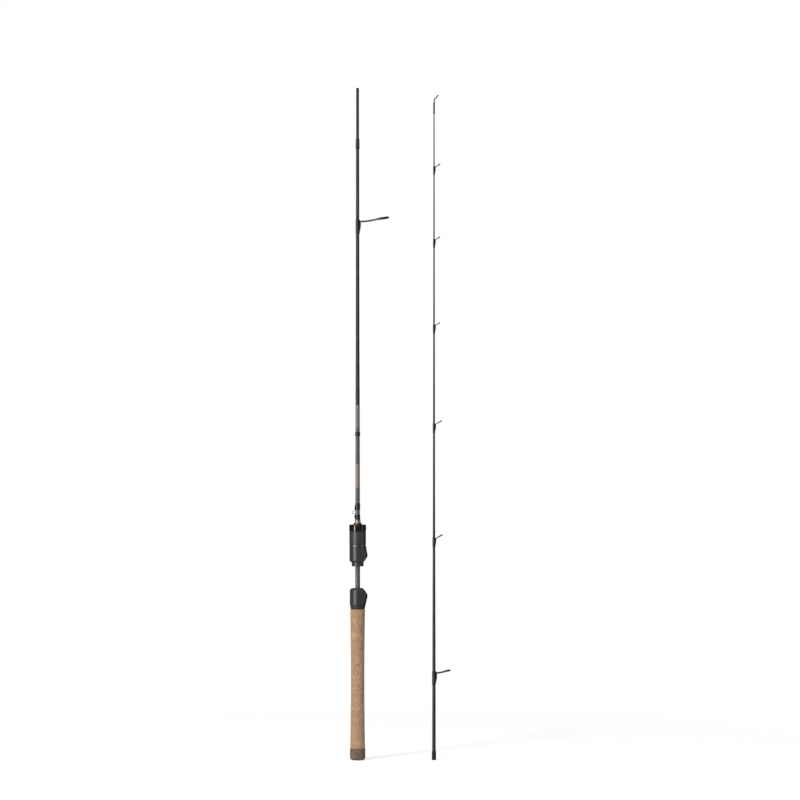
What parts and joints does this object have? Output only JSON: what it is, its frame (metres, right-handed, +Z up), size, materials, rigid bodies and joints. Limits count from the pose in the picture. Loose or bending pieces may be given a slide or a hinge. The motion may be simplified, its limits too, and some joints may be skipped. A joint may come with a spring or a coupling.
{
  "type": "fishing rod",
  "caption": "Two-piece spinning rod, taken down: cork-handled butt section with a split reel seat and a stripper guide, beside the slim tip section with its line guides.",
  "frame": {"origin": "middle of the flat end face of the butt cap, where the butt section stands on the floor", "axes": "+Z up along the butt section towards the ferrule; +X towards the guides, the hoods' lips and the tip section, which stands 125 mm away on that side"},
  "size_m": [0.1665, 0.0278, 1.1],
  "materials": {
    "lacquered_carbon": "glossy lacquer over carbon cloth",
    "rubberised_cork": "matte, speckled",
    "cork": "matte, pitted",
    "seat_nylon": "satin, fine grain",
    "soft_touch_nylon": "soft touch matte",
    "arbor_foam": "matte foam",
    "ring_metal": "satin",
    "gloss_black_ring": "glossy",
    "copper_metal": "satin anodised",
    "varnished_thread": "thread under clear varnish",
    "keeper_wire": "polished",
    "guide_frame_metal": "dark gunmetal",
    "guide_ceramic": "polished"
  },
  "bodies": {
    "butt_section": {"butt_blank": "lacquered_carbon", "butt_cap": "rubberised_cork", "cork_grip": "cork", "fixed_hood": "seat_nylon", "fixed_hood_arbor": "arbor_foam", "seat_barrel": "seat_nylon", "barrel_arbor": "arbor_foam", "barrel_end_ring": "gloss_black_ring", "winding_check": "copper_metal", "lower_keeper_wrap": "varnished_thread", "hook_keeper": "keeper_wire", "upper_keeper_wrap": "varnished_thread", "trim_wrap": "varnished_thread", "ferrule_wrap": "varnished_thread", "stripper_guide_frame": "guide_frame_metal", "stripper_guide_ring": "guide_ceramic", "stripper_guide_wrap": "varnished_thread"},
    "tip_section": {"tip_blank": "lacquered_carbon", "socket_wrap": "varnished_thread", "guide_1_frame": "guide_frame_metal", "guide_1_ring": "guide_ceramic", "guide_1_wrap": "varnished_thread", "guide_2_frame": "guide_frame_metal", "guide_2_ring": "guide_ceramic", "guide_2_wrap": "varnished_thread", "guide_3_frame": "guide_frame_metal", "guide_3_ring": "guide_ceramic", "guide_3_wrap": "varnished_thread", "guide_4_frame": "guide_frame_metal", "guide_4_ring": "guide_ceramic", "guide_4_wrap": "varnished_thread", "guide_5_frame": "guide_frame_metal", "guide_5_ring": "guide_ceramic", "guide_5_wrap": "varnished_thread", "guide_6_frame": "guide_frame_metal", "guide_6_ring": "guide_ceramic", "guide_6_wrap": "varnished_thread", "tip_top_frame": "guide_frame_metal", "tip_top_ring": "guide_ceramic", "tip_top_wrap": "varnished_thread"},
    "moving_hood": {"moving_hood": "seat_nylon", "thrust_ring": "ring_metal"},
    "lock_nut": {"lock_nut": "soft_touch_nylon"}
  },
  "joints": [
    {"name": "tip_section_lift", "type": "slide", "parent": "butt_section", "child": "tip_section", "axis": [0, 0, 1], "range_m": [0, 0.082]},
    {"name": "hood_slide", "type": "slide", "parent": "butt_section", "child": "moving_hood", "axis": [0, 0, -1], "range_m": [0, 0.014]},
    {"name": "nut_turn", "type": "hinge", "parent": "moving_hood", "child": "lock_nut", "pos_m": [0, 0, 0.363], "axis": [0, 0, -1], "range_deg": [0, 2017]}
  ],
  "couplings": [
    {"joint": "nut_turn", "follows": "hood_slide", "rad_per_m": 2513.3}
  ]
}
